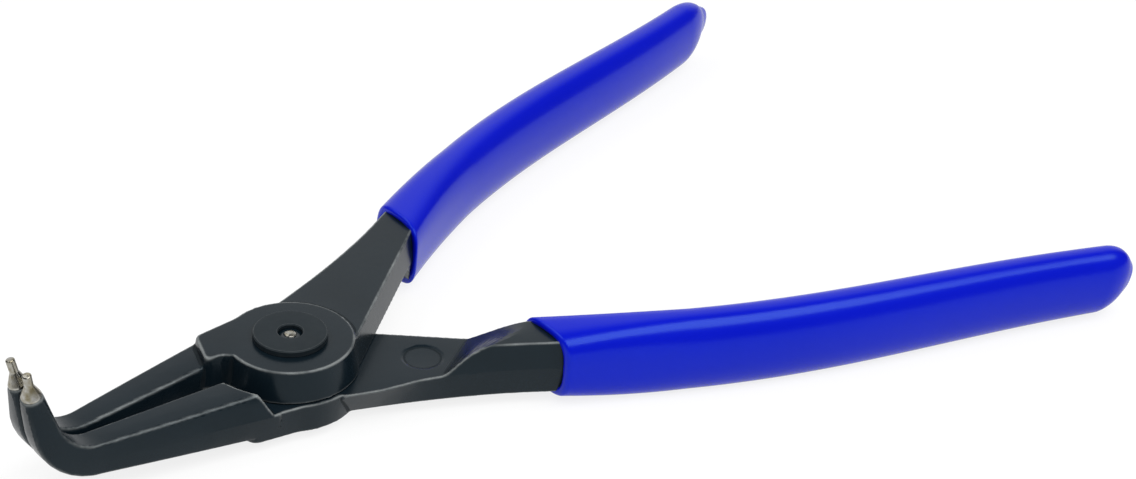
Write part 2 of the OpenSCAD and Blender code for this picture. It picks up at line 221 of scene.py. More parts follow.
def evaluated_mesh(carrier):
    """Plain mesh of a carrier object with its modifiers applied; the carrier goes."""
    bpy.context.view_layer.update()
    depsgraph = bpy.context.evaluated_depsgraph_get()
    mesh = bpy.data.meshes.new_from_object(carrier.evaluated_get(depsgraph))
    source = carrier.data
    bpy.data.objects.remove(carrier)
    bpy.data.meshes.remove(source)
    return mesh


def add_smoothing(carrier, name, passes):
    smoothing = carrier.modifiers.new(name, "SMOOTH")
    smoothing.factor = 0.5
    smoothing.iterations = passes


def shade_smooth(mesh):
    mesh.polygons.foreach_set("use_smooth", [True] * len(mesh.polygons))
    mesh.update()


def face_outwards(mesh):
    """Merges doubles and turns all faces of a closed shell outwards."""
    work = bmesh.new()
    work.from_mesh(mesh)
    bmesh.ops.remove_doubles(work, verts=work.verts, dist=DOUBLES)
    bmesh.ops.recalc_face_normals(work, faces=work.faces)
    if work.calc_volume(signed=True) < 0:
        bmesh.ops.reverse_faces(work, faces=work.faces)
    work.to_mesh(mesh)
    work.free()


def read_points(mesh):
    """A mesh's points and their normals, and the two ends of its edges, as arrays."""
    points = np.empty(len(mesh.vertices) * 3)
    mesh.vertices.foreach_get("co", points)
    normals = np.empty(len(mesh.vertices) * 3)
    mesh.vertices.foreach_get("normal", normals)
    edges = np.empty(len(mesh.edges) * 2, np.int64)
    mesh.edges.foreach_get("vertices", edges)
    return points.reshape(-1, 3), normals.reshape(-1, 3), *edges.reshape(-1, 2).T


def even_shading(mesh, passes, sharp):
    """Evens the shading over facets of gentle curves, keeping edges sharper than an angle."""
    _, normals, a, b = read_points(mesh)
    falloff = 1.0 - math.cos(sharp)
    for _ in range(passes):
        alike = np.exp((np.einsum("ij,ij->i", normals[a], normals[b]) - 1.0) / falloff)
        for axis in range(3):
            normals[:, axis] += np.bincount(a, alike * normals[b, axis], len(normals))
            normals[:, axis] += np.bincount(b, alike * normals[a, axis], len(normals))
        normals /= np.linalg.norm(normals, axis=1)[:, None]
    mesh.normals_split_custom_set_from_vertices(normals)


def edge_wear_and_glint(mesh, reach, flat, passes):
    """Stores 0 on flats to 1 on the sharp rims, most on level faces, as a mask for wear and painted highlight; and
    the same for hollow corners, as a mask for painted shade.
    """
    upright_wear_and_glint, hollow_flat, least_span = 0.25, flat * 0.4, 1e-9
    points, normals, a, b = read_points(mesh)
    total = len(points)
    step = points[b] - points[a]
    span = np.maximum(np.linalg.norm(step, axis=1), least_span)
    lean = np.einsum("ij,ij->i", normals[b] - normals[a], step) / span**2
    degree = np.maximum(np.bincount(a, minlength=total) + np.bincount(b, minlength=total), 1)

    def spread(values_a, values_b):
        return (np.bincount(a, values_a, total) + np.bincount(b, values_b, total)) / degree

    bend = spread(lean, lean)
    for _ in range(passes):
        bend = (bend + spread(bend[b], bend[a])) / 2
    # Rims of level faces get more than those of upright walls: wear, and painted highlight where edges would glint
    level = upright_wear_and_glint + (1.0 - upright_wear_and_glint) * np.abs(normals[:, 2])
    worn_and_glint = np.clip((bend * reach - flat) / (1.0 - flat), 0.0, 1.0) * level
    # Hollow corners get a mask for painted shade
    hollow_shade_mask = np.clip((-bend * reach - hollow_flat) / (1.0 - flat), 0.0, 1.0)
    for name, values in ((WEAR_AND_GLINT, worn_and_glint), (HOLLOW_SHADE, hollow_shade_mask)):
        stored = mesh.attributes.new(name, "FLOAT", "POINT")
        stored.data.foreach_set("value", values.astype(np.float32))


def filleted(corners, steps=5):
    """Profile whose corners (r, h, radius) are rounded by arcs."""
    profile = []
    for i, (r, h, radius) in enumerate(corners):
        here = Vector((r, h))
        if radius == 0.0:
            profile.append(here)
            continue
        back = (Vector(corners[i - 1][:2]) - here).normalized()
        ahead = (Vector(corners[(i + 1) % len(corners)][:2]) - here).normalized()
        half = back.angle(ahead) / 2
        centre = here + (back + ahead).normalized() * radius / math.sin(half)
        start = here + back * radius / math.tan(half) - centre
        end = here + ahead * radius / math.tan(half) - centre
        for k in range(steps + 1):
            profile.append(centre + start.slerp(end, k / steps, start) * radius)
    return profile


def lathe(profile, segments, matrix=Matrix.Identity(4), ring=False):
    """Mesh of a profile of radii and heights turned about Z, then moved by a matrix."""
    work = bmesh.new()
    turn = work.verts.layers.float.new(TURN)
    run = 0.0
    rows = []
    for k, point in enumerate(profile):
        run += (point - profile[k - 1]).length if k else 0.0
        angles = [math.tau * i / segments for i in range(segments)] if point.x else [0.0]
        rows.append([
            work.verts.new((point.x * math.cos(a), point.x * math.sin(a), point.y))
            for a in angles
        ])
        for vert in rows[-1]:
            vert[turn] = run
    pairs = list(zip(rows, rows[1:]))
    if ring:
        pairs.append((rows[-1], rows[0]))
    for low, high in pairs:
        for i in range(segments):
            j = (i + 1) % segments
            corners = (
                low[i % len(low)], low[j % len(low)], high[j % len(high)], high[i % len(high)]
            )
            unique = list(dict.fromkeys(corners))
            if len(unique) > 2:
                work.faces.new(unique)
    bmesh.ops.recalc_face_normals(work, faces=work.faces)
    bmesh.ops.transform(work, matrix=matrix, verts=work.verts)
    mesh = bpy.data.meshes.new("turned")
    work.to_mesh(mesh)
    work.free()
    shade_smooth(mesh)
    return mesh


# Finishes


def finish_tree(name):
    material = bpy.data.materials.new(name)
    material.use_nodes = True
    tree = material.node_tree
    return material, tree, tree.nodes["Principled BSDF"]


def object_place(tree):
    return add_field(tree, "ShaderNodeTexCoord", output="Object")


def noise(tree, scale, detail=3.0, roughness=0.5):
    """Noise on object coordinates, with its scale in features per metre."""
    return add_field(
        tree, "ShaderNodeTexNoise",
        Vector=object_place(tree), Scale=scale, Detail=detail, Roughness=roughness,
    )


def attribute(tree, name):
    return add_field(tree, "ShaderNodeAttribute", {"attribute_name": name}, output="Fac")


def tool_rings(tree, pitch):
    """Waves along the profile of a turned piece."""
    return (attribute(tree, TURN) * (math.tau / pitch)).sin()


def mixed_colour(tree, part, a, b):
    """Colour between two; a Mix node takes colours at inputs 6 and 7 and gives one at output 2."""
    node = add_node(tree, "ShaderNodeMix", {"data_type": "RGBA"})
    feed(tree, part, node.inputs[0])
    for tone, socket in ((a, node.inputs[6]), (b, node.inputs[7])):
        feed(tree, tone if isinstance(tone, Field) else (*tone, 1.0), socket)
    return Field(tree, node.outputs[2])


def bumped(tree, shader, height, strength, distance):
    bump = add_field(
        tree, "ShaderNodeBump", output="Normal",
        Strength=strength, Distance=distance, Height=height,
    )
    set_inputs(tree, shader, Normal=bump)


def black_oxide(name, settings, turned=False):
    """Blackened steel with cloudy oxide, edges lightened by wear and painted highlight, painted shade in hollow
    corners, over blasted grain or tool rings.
    """
    material, tree, shader = finish_tree(name)
    clouds = noise(tree, scale=90.0, detail=4.0, roughness=0.6)
    grain = noise(tree, scale=5200.0, detail=2.0, roughness=0.6)
    wear_and_glint = attribute(tree, WEAR_AND_GLINT)
    if turned:
        # The cap's rims are lightened: painted highlight, with a faint random mottle
        shine, rim_rub_and_glint, mottle = 0.04, 0.6, 0.04
        ring_height, grain_height = 0.1, 0.2
        rubbed_and_glinting = wear_and_glint * rim_rub_and_glint + (noise(tree, scale=900.0) - 0.5) * mottle
        height = tool_rings(tree, pitch=0.16 * MM) * ring_height + grain * grain_height
    else:
        shine, rim_rub_and_glint, dent_height = 0.21, 1.25, 2.0
        patches = noise(tree, scale=130.0, detail=4.0, roughness=0.65)
        # Rubbed edges, lightened in patches: wear, and painted highlight in place of edge glints
        rubbed_and_glinting = (wear_and_glint * rim_rub_and_glint).eased() * patches.contrast(floor=0.25, gain=3.0)
        height = grain + noise(tree, scale=700.0) * dent_height
    cloud_gain, hollow_shade_gain = 1.6, 3.0
    # Painted shade: hollow corners darkened towards the dark tone, and made rougher
    hollow_shade = (attribute(tree, HOLLOW_SHADE) * hollow_shade_gain).eased()
    cloudiness = (clouds * cloud_gain).clamped()
    oxide = mixed_colour(tree, cloudiness, settings.steel_dark_and_shade, settings.steel_light)
    oxide = mixed_colour(tree, hollow_shade, oxide, settings.steel_dark_and_shade)
    cloud_spread, hollow_spread = 0.05, 0.4
    smoothest = settings.steel_roughness - cloud_spread / 2
    set_inputs(
        tree, shader,
        Base_Color=mixed_colour(tree, rubbed_and_glinting.clamped(), oxide, settings.steel_worn_and_glint),
        Roughness=clouds * cloud_spread + hollow_shade * hollow_spread + smoothest,
        Specular_IOR_Level=shine,
        Specular_Tint=(0.8, 0.94, 1.0, 1.0),
    )
    bumped(tree, shader, height, strength=0.16, distance=0.05 * MM)
    return material


def bright_steel(name, settings, bare_radius=None):
    """Bare turned steel with fine tool rings and straw stains, blackened outside a radius."""
    material, tree, shader = finish_tree(name)
    stain = noise(tree, scale=900.0).contrast(floor=0.35, gain=3.0)
    tone = mixed_colour(tree, stain, settings.bright, settings.straw)
    bare = 1.0
    if bare_radius:
        ragged, border = 0.1 * MM, 0.12 * MM
        x, y, _ = axes_of(tree, object_place(tree))
        radius = (x * x + y * y).math("SQRT") + stain * ragged
        bare = ((bare_radius - radius) / border).eased()
        tone = mixed_colour(tree, bare, settings.steel_light, tone)
    smoothest, stain_spread = 0.13, 0.1
    set_inputs(
        tree, shader,
        Base_Color=tone, Metallic=bare, Roughness=stain * stain_spread + smoothest,
    )
    ring_height, grain_height = 0.5, 0.6
    rings = tool_rings(tree, pitch=0.09 * MM)
    height = rings * ring_height + noise(tree, scale=6000.0) * grain_height
    bumped(tree, shader, height, strength=0.25, distance=0.02 * MM)
    return material


def drawn_wire(name, settings):
    """Spring wire with a fine drawn grain and darker oil stains."""
    material, tree, shader = finish_tree(name)
    smoothest, stain_spread = 0.28, 0.25
    stain = noise(tree, scale=1100.0, detail=4.0, roughness=0.6)
    set_inputs(
        tree, shader,
        Base_Color=mixed_colour(tree, stain, settings.wire_light, settings.wire_dark),
        Metallic=1.0, Roughness=stain * stain_spread + smoothest,
    )
    grain = noise(tree, scale=9000.0, detail=2.0)
    bumped(tree, shader, grain, strength=0.2, distance=0.02 * MM)
    return material


def dipped_plastic(name, settings):
    """Dipped soft plastic: even colour, slow waves from dipping and a faint skin grain."""
    material, tree, shader = finish_tree(name)
    cloud_spread, grain_height = 0.04, 0.5
    clouds = noise(tree, scale=60.0)
    smoothest = settings.roughness - cloud_spread / 2
    set_inputs(
        tree, shader,
        Base_Color=mixed_colour(tree, clouds, settings.colour_deep, settings.colour),
        Roughness=clouds * cloud_spread + smoothest,
        Specular_IOR_Level=0.3,
        Specular_Tint=(0.38, 0.75, 1.0, 1.0),
    )
    grain = noise(tree, scale=1500.0, detail=4.0, roughness=0.6)
    waves = noise(tree, scale=110.0, detail=1.0)
    bumped(tree, shader, grain * grain_height + waves, strength=0.1, distance=0.05 * MM)
    return material


# Settings


def length(name, description, millimetres):
    return FloatProperty(
        name=name, description=description, default=millimetres * MM, min=0.0, unit="LENGTH",
        precision=5,
    )


def place(name, description, *millimetres):
    return FloatVectorProperty(
        name=name, description=description, default=tuple(v * MM for v in millimetres),
        subtype="TRANSLATION", unit="LENGTH", precision=5,
    )


def colour(name, description, *rgb):
    return FloatVectorProperty(
        name=name, description=description, default=rgb, subtype="COLOR", min=0.0, max=1.0
    )


def share(name, description, value):
    return FloatProperty(
        name=name, description=description, default=value, min=0.0, max=1.0, subtype="FACTOR"
    )


def angle(name, description, degrees):
    return FloatProperty(
        name=name, description=description, default=math.radians(degrees), subtype="ANGLE"
    )


def power(name, description, watts):
    return FloatProperty(name=name, description=description, default=watts, min=0.0, unit="POWER")


def number(name, description, value, least):
    return FloatProperty(name=name, description=description, default=value, min=least)


def count(name, description, value, least=0):
    return IntProperty(name=name, description=description, default=value, min=least)


class SteelSettings(PropertyGroup):
    voxel: length("Voxel", "Grain of the mesh that rounds the forged edges", 0.2)
    rounding: count("Rounding", "Passes that round the forged edges", 6)
    kept: share("Kept faces", "Share of the mesh faces that stay after rounding", 0.42)
    polish: count("Polish", "Passes that even the faces that stay", 3)
    # The dark tone also serves as painted shade in hollow corners
    steel_dark_and_shade: colour("Dark oxide", "Darker tone of the blackened steel", 0.0022, 0.0048, 0.0072)
    steel_light: colour("Light oxide", "Lighter tone of the blackened steel", 0.004, 0.0082, 0.012)
    # Tone of the lightened edges: wear and painted highlight
    steel_worn_and_glint: colour("Rubbed steel", "Tone of the rubbed edges", 0.15, 0.16, 0.16)
    steel_roughness: share("Roughness", "Mean roughness of the blackened steel", 0.235)
    bright: colour("Bright steel", "Tone of bare turned steel", 0.4, 0.395, 0.37)
    straw: colour("Straw tint", "Warm stain on bare turned steel", 0.2, 0.175, 0.11)
    wire_light: colour("Wire", "Lighter tone of the spring wire", 0.42, 0.42, 0.43)
    wire_dark: colour("Stained wire", "Darker tone of the spring wire", 0.2, 0.19, 0.18)


class GripSettings(PropertyGroup):
    start: place("Start", "Start of the upper handle's middle line", 7.0, 0.3, 0.0)
    start_handle: place("Start pull", "Control point after the start", 62.0, 44.0, 0.0)
    end_handle: place("End pull", "Control point before the end", 87.3, 38.5, 0.0)
    end: place("End", "End of the upper handle's middle line", 133.3, 55.7, 0.0)
    mouth_x: length("Mouth", "Distance from the pivot to the grip's mouth", 34.7)
    lift: length("Lift", "Height of the upper grip's middle above the mating plane", 0.2)
    mouth_w: length("Mouth width", "Width of the grip at its mouth", 10.08)
    mouth_h: length("Mouth height", "Height of the grip at its mouth", 11.6)
    width: length("Width", "Width of the grip at mid length", 8.5)
    height: length("Height", "Height of the grip at mid length", 13.8)
    end_w: length("End width", "Width of the grip near its end", 6.85)
    end_h: length("End height", "Height of the grip near its end", 12.0)
    tang_w: length("Inner width", "Width of the room for the tang at the grip's end", 4.4)
    tang_h: length("Inner height", "Height of the room for the tang at the grip's end", 9.5)
    upper_mouth_lean: length(
        "Mouth lean", "How far the upper mouth's lower edge runs ahead of its upper edge", 1.4
    )
    lip: length("Lip", "Radius of the rolled lip at the mouth", 0.62)
    swell: length("Swell", "Extra width and height of the grip past its mid length", 0.7)
    room_end: length("Room end", "Distance from the tang's room to the grip's end", 6.16)
    room_round: length("Room rounding", "Length of the rounded end of the tang's room", 2.8)
    upper_dome: length("Upper dome", "Length of the upper grip's domed end", 8.5)
    lower_dome: length("Lower dome", "Length of the lower grip's domed end", 5.6)
    lean: length("Lean", "How far the domed end leans out over its lower edge", 1.3)
    upper_drip: length("Upper drip", "Length of the drip that dipping leaves above", 1.7)
    lower_drip: length("Lower drip", "Length of the drip that dipping leaves below", 0.3)
    squareness: number("Squareness", "Power of the section's outline", 2.3, least=2.0)
    mouth_share: share("Mouth share", "Share of the length where the mouth's shape fades", 0.22)
    rings: count("Rings", "Rings along the grip, inside and outside", 260, least=40)
    points: count("Points", "Points around the grip", 96, least=16)
    colour: colour("Colour", "Main tone of the plastic", 0.0008, 0.004, 0.41)
    colour_deep: colour("Deep colour", "Deeper tone of the plastic", 0.0005, 0.003, 0.36)
    roughness: share("Roughness", "Mean roughness of the plastic", 0.245)


class JointSettings(PropertyGroup):
    cap_hole: length("Cap hole", "Radius of the hole in the cap", 1.9)
    cap_edge: length("Cap edge", "Edge break of the cap", 0.18)
    pin_r: length("Pin", "Radius of the pivot pin", 3.0)
    rivet_r: length("Rivet", "Radius of the countersunk head", 4.4)
    rivet_t: length("Rivet depth", "Depth of the countersunk head", 1.4)
    spigot: length("Spigot", "Height of the pin's spigot in the cap", 0.35)
    dome_r: length("Pin dome", "Radius of the domed pin end", 1.05)
    wire_r: length("Wire", "Radius of the spring wire", 0.5)
    wire_steps: count("Wire steps", "Points along the spring wire", 400, least=50)
    coil_r: length("Coil", "Mean radius of the spring coil", 4.9)
    coil_pitch: length("Pitch", "Distance between neighbouring turns", 1.12)
    coil_turns: number("Turns", "Turns of the coil", 2.75, least=1.0)
    coil_start: angle("Coil start", "Angle of the spring's lower end", 200.0)
    leg: length("Leg", "Length of each straight end of the spring", 2.0)


class TipSettings(PropertyGroup):
    pin_l: length("Pin length", "Length of the pin that enters the ring", 2.2)
    pin_edge: length("Pin edge", "Edge break at the pin's end", 0.15)
    cone_d: length("Cone", "Diameter of the cone at the jaw", 3.1)
    cone_l: length("Cone length", "Length of the cone", 2.3)
    shank_d: length("Shank", "Diameter of the shank in the jaw", 2.0)
    shank_l: length("Shank length", "Length of the shank in the jaw", 4.5)


class StageSettings(PropertyGroup):
    azimuth: angle("Azimuth", "Camera's turn about Z", -40.967)
    elevation: angle("Elevation", "Camera's height above the horizon", 31.318)
    roll: angle("Roll", "Camera's roll", 4.122)
    place: place("Camera", "Place of the camera", -192.077, -284.923, 239.287)
    lens: number("Lens", "Focal length in millimetres", 84.068, least=1.0)
    key: power("Key", "Power of the soft box behind", 2.4)
    key_place: place("Key place", "Place of the soft box behind", -300.0, 300.0, 650.0)
    front: power("Front", "Power of the soft box in front", 6.2)
    front_place: place("Front place", "Place of the soft box in front", 40.0, -380.0, 660.0)
    target: place("Target", "Point that both soft boxes face", 40.0, 0.0, 5.0)
    sky: share("Sky", "Strength of the even light around the object", 0.58)
    room: share("Room", "Brightness around and overhead that shiny surfaces reflect", 0.04)
    floor_light: share("Floor light", "How much of the floor's white is its own light", 0.82)


# Pieces


class PLIERS_OT_forgings(Operator):
    """Makes the forged levers with rounded edges over their CAD nodes"""

    bl_idname = "pliers.forgings"
    bl_label = "Forged levers"

    def execute(self, context):
        steel = context.scene.pliers_steel
        finish = black_oxide("black_oxide_forging", steel)
        for node, body in (("upper_lever", "upper_arm"), ("lower_lever", "lower_arm")):
            mesh = frame["nodes"][node].data.copy()
            face_outwards(mesh)
            carrier = carrier_of(mesh)
            remesh = carrier.modifiers.new("skin", "REMESH")
            remesh.mode = "VOXEL"
            remesh.voxel_size = steel.voxel
            add_smoothing(carrier, "rounding", steel.rounding)
            thinning = carrier.modifiers.new("thinning", "DECIMATE")
            thinning.ratio = steel.kept
            add_smoothing(carrier, "polish", steel.polish)
            forging = evaluated_mesh(carrier)
            shade_smooth(forging)
            # Masks for edge wear with painted highlight, and for painted shade in hollow corners
            edge_wear_and_glint(forging, reach=0.9 * MM, flat=0.3, passes=2)
            even_shading(forging, passes=60, sharp=math.radians(4.5))
            forging.materials.clear()
            forging.materials.append(finish)
            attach(new_piece(node + "_forging", forging, node), body)
        return {"FINISHED"}


class PLIERS_OT_joint(Operator):
    """Turns the cap and the pivot rivet"""

    bl_idname = "pliers.joint"
    bl_label = "Cap and pivot"

    def execute(self, context):
        steel = context.scene.pliers_steel
        joint = context.scene.pliers_joint
        low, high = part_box("joint_cap")
        radius, edge = high.x, joint.cap_edge
        under_round, over_round = 0.05 * MM, 0.08 * MM
        cap = lathe(
            filleted([
                (joint.cap_hole, low.z, under_round),
                (radius, low.z, under_round),
                (radius, high.z - edge, over_round),
                (radius - edge, high.z, over_round),
                (joint.cap_hole + edge, high.z, over_round),
                (joint.cap_hole, high.z - edge, over_round),
            ]),
            segments=128, ring=True,
        )
        # Lightens the cap's rims with painted highlight
        edge_wear_and_glint(cap, reach=0.12 * MM, flat=0.15, passes=0)
        cap.materials.append(black_oxide("black_oxide_turned", steel, turned=True))
        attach(new_piece("joint_cap_disc", cap, "joint_cap"), "lower_arm")

        pin_low, pin_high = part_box("pivot_pin")
        spigot = low.z + joint.spigot
        shoulder_r, crown_r = joint.dome_r * 0.85, joint.dome_r * 0.4
        shoulder_z = spigot + (pin_high.z - spigot) * 0.6
        head_round, step_round, foot_round, dome_round = 0.04 * MM, 0.05 * MM, 0.06 * MM, 0.2 * MM
        rivet = lathe(
            filleted([
                (0.0, pin_low.z, 0.0),
                (joint.rivet_r, pin_low.z, head_round),
                (joint.pin_r, pin_low.z + joint.rivet_t, 0.0),
                (joint.pin_r, low.z, step_round),
                (joint.cap_hole, low.z, 0.0),
                (joint.cap_hole, spigot, 0.0),
                (joint.dome_r, spigot, foot_round),
                (shoulder_r, shoulder_z, dome_round),
                (crown_r, pin_high.z, dome_round),
                (0.0, pin_high.z, 0.0),
            ]),
            segments=96,
        )
        rivet.materials.append(bright_steel("bright_rivet", steel, joint.dome_r))
        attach(new_piece("pivot_rivet", rivet, "pivot_pin"), "lower_arm")
        return {"FINISHED"}


class PLIERS_OT_tips(Operator):
    """Turns the pin tips on the axes of their mounts"""

    bl_idname = "pliers.tips"
    bl_label = "Pin tips"

    def execute(self, context):
        tip = context.scene.pliers_tip
        finish = bright_steel("bright_tip", context.scene.pliers_steel)
        shank_r, cone_r, collar = tip.shank_d / 2, tip.cone_d / 2, tip.cone_l * 0.15
        top = tip.cone_l + tip.pin_l
        shank_round, rim_round, pin_round = 0.1 * MM, 0.06 * MM, 0.08 * MM
        collar_round, neck_round = 0.25 * MM, 0.3 * MM
        for node, body, mount in (
            ("upper_tip", "upper_arm", MOUNTS["upper_tip_pin"]),
            ("lower_tip", "lower_arm", MOUNTS["lower_tip_pin"]),
        ):
            axis = Vector(mount["axis"]).normalized()
            pin_r = mount["dims"]["r_mm"] * MM
            middle = tip.cone_l + mount["dims"]["length_mm"] * MM / 2
            base = Vector(mount["pos_m"]) - axis * middle
            tilt = Vector((0.0, 0.0, 1.0)).rotation_difference(axis).to_matrix().to_4x4()
            mesh = lathe(
                filleted([
                    (0.0, -tip.shank_l, 0.0),
                    (shank_r, -tip.shank_l, shank_round),
                    (shank_r, 0.0, 0.0),
                    (cone_r, 0.0, rim_round),
                    (cone_r, collar, collar_round),
                    (pin_r, tip.cone_l, neck_round),
                    (pin_r, top - tip.pin_edge, pin_round),
                    (pin_r - tip.pin_edge, top, pin_round),
                    (0.0, top, 0.0),
                ]),
                segments=64, matrix=Matrix.Translation(base) @ tilt,
            )
            mesh.materials.append(finish)
            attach(new_piece(node + "_turned", mesh, node), body)
        return {"FINISHED"}


def new_group(name, **sockets):
    """New tree with inputs named under their kinds, and each input as a field."""
    tree = bpy.data.node_groups.new(name, "GeometryNodeTree")
    tree.is_modifier = True
    inputs = [(kind, title) for kind, titles in sockets.items() for title in titles]
    for kind, title in inputs:
        tree.interface.new_socket(name=title, in_out="INPUT", socket_type="NodeSocket" + kind)
    tree.interface.new_socket(name="Geometry", in_out="OUTPUT", socket_type="NodeSocketGeometry")
    source = tree.nodes.new("NodeGroupInput")
    return tree, {title: Field(tree, source.outputs[title]) for _, title in inputs}


def finish_group(tree, mesh, material):
    """Ends a tree: closed seams, smooth faces, real geometry, its material."""
    mesh = add_field(tree, "GeometryNodeMergeByDistance", Geometry=mesh, Distance=SEAM)
    mesh = add_field(tree, "GeometryNodeSetShadeSmooth", Geometry=mesh)
    mesh = add_field(tree, "GeometryNodeRealizeInstances", Geometry=mesh)
    mesh = add_field(tree, "GeometryNodeSetMaterial", Geometry=mesh, Material=material)
    feed(tree, mesh, tree.nodes.new("NodeGroupOutput").inputs[0])


def run_group(tree, values):
    """Runs a tree on an empty mesh with its named inputs set, and gives the plain mesh."""
    carrier = carrier_of(bpy.data.meshes.new("carrier"))
    modifier = carrier.modifiers.new("maker", "NODES")
    modifier.node_group = tree
    for item in tree.interface.items_tree:
        if item.in_out == "INPUT":
            modifier[item.identifier] = values[item.name]
    mesh = evaluated_mesh(carrier)
    face_outwards(mesh)
    shade_smooth(mesh)
    return mesh


def grip_tree():
    """Tree of a dipped coat: inner wall, rolled lip, outer wall and dome along a curved line."""
    tree, given = new_group(
        "Dipped grip",
        Vector=("Start", "Start Pull", "End Pull", "End"),
        Float=(
            "Mouth", "Length", "Middle", "Mouth Width", "Mouth Height", "Width", "Height",
            "End Width", "End Height", "Inner Width", "Inner Height", "Lip", "Swell", "Room End",
            "Room Rounding", "Dome", "Lean", "Mouth Lean", "Drip", "Squareness", "Mouth Share",
        ),
        Int=("Rings", "Points"),
        Material=("Material",),
    )
    line = add_field(
        tree, "GeometryNodeCurvePrimitiveBezierSegment", {"mode": "POSITION"}, Resolution=256,
        Start=given["Start"], Start_Handle=given["Start Pull"],
        End_Handle=given["End Pull"], End=given["End"],
    )
    grid = add_node(
        tree, "GeometryNodeMeshGrid",
        Vertices_X=given["Rings"], Vertices_Y=given["Points"] + 1.0,
    )
    along, across, _ = axes_of(tree, Field(tree, grid.outputs["UV Map"]))
    around = across * math.tau

    # Shares of the rings: the room up to the lip, the lip, the wall, and the dome from its start
    inner_end, lip_end, dome_start = 0.3, 0.4, 0.8
    inner = (along / inner_end).clamped()
    lip = ((along - inner_end) / (lip_end - inner_end)).clamped()
    wall = ((along - lip_end) / (dome_start - lip_end)).clamped()
    dome = ((along - dome_start) / (1.0 - dome_start)).clamped() * QUARTER_TURN
    is_inner = along.math("LESS_THAN", inner_end)

    # Distance of each ring from the mouth, along the line
    round_share = 0.25
    drip_width, drip_fade = 0.64, 0.26
    long = given["Length"]
    lip_r = given["Lip"]
    roll = (lip - 0.5) * math.pi
    inner_reach = long - given["Room End"] - given["Room Rounding"]
    outer_reach = long - given["Dome"]
    inner_turn = (inner / round_share).clamped() * QUARTER_TURN
    inner_run = ((inner - round_share) / (1.0 - round_share)).clamped()
    inner_s = blend(inner_reach, lip_r, inner_run) + inner_turn.cos() * given["Room Rounding"]
    closing = dome.cos()
    drip = given["Drip"] * ((drip_width - closing) / drip_fade).eased()
    outer_s = (
        lip_r * (1.0 - roll.cos()) + (outer_reach - lip_r) * wall
        + given["Dome"] * dome.sin() + drip
    )
    distance = blend(outer_s, inner_s, is_inner)
    reached = (distance / long).clamped()

    # Section of each ring
    swell_power = 1.35
    fade = (reached / given["Mouth Share"]).clamped()
    flare = (1.0 - fade) * (1.0 - fade)
    swell = given["Swell"] * (reached**swell_power * math.pi).sin()

    def half(mouth, mid, end, inside):
        outer = (blend(mid, end, reached.eased()) + (mouth - mid) * flare + swell) * 0.5
        rolled = outer - lip_r * (1.0 - roll.sin())
        within = blend(mouth * 0.5 - lip_r * 2.0, inside * 0.5, reached)
        return blend(rolled * closing, within * inner_turn.sin(), is_inner)

    half_w = half(given["Mouth Width"], given["Width"], given["End Width"], given["Inner Width"])
    half_h = half(
        given["Mouth Height"], given["Height"], given["End Height"], given["Inner Height"]
    )
    exponent = 2.0 / (given["Squareness"] + 1.0 - fade)
    side_way = half_w * around.cos().signed_power(exponent)
    up_way = half_h * around.sin().signed_power(exponent)

    # Place of each point: the mouth is cut across X, the rest across the line
    sample = add_node(
        tree, "GeometryNodeSampleCurve", {"mode": "FACTOR", "use_all_curves": True},
        Curves=line, Factor=given["Mouth"] + (1.0 - given["Mouth"]) * reached,
    )
    middle, tangent = (Field(tree, sample.outputs[name]) for name in ("Position", "Tangent"))
    tangent_x, tangent_y, _ = axes_of(tree, tangent)
    turn = tangent_y.math("ARCTAN2", tangent_x)
    square = turn * fade.eased()
    stretch = side_way / (turn - square).cos()
    offset = add_field(
        tree, "ShaderNodeCombineXYZ",
        X=0.0 - stretch * square.sin(), Y=stretch * square.cos(), Z=up_way + given["Middle"],
    )
    lean_start, lean_run, mouth_run = 0.88, 0.1, 0.1
    highness = up_way / given["End Height"] * 2.0
    leaning = given["Lean"] * highness * ((reached - lean_start) / lean_run).eased()
    lowness = 0.5 - up_way / given["Mouth Height"]
    mouth_leaning = given["Mouth Lean"] * lowness * (1.0 - reached / mouth_run).eased()
    ahead = (distance - long).math("MAXIMUM", 0.0) + leaning - mouth_leaning
    beyond = vector_math(tree, "SCALE", tangent, Scale=ahead)
    section = vector_math(tree, "ADD", beyond, offset)
    moved = add_field(
        tree, "GeometryNodeSetPosition", Geometry=Field(tree, grid.outputs["Mesh"]),
        Position=vector_math(tree, "ADD", middle, section),
    )
    finish_group(tree, moved, given["Material"])
    return tree


def cubic(a, b, c, d, t):
    """Point of a curve from a to d, pulled towards b and c."""
    return (1 - t) ** 3 * a + 3 * (1 - t) ** 2 * t * b + 3 * (1 - t) * t**2 * c + t**3 * d


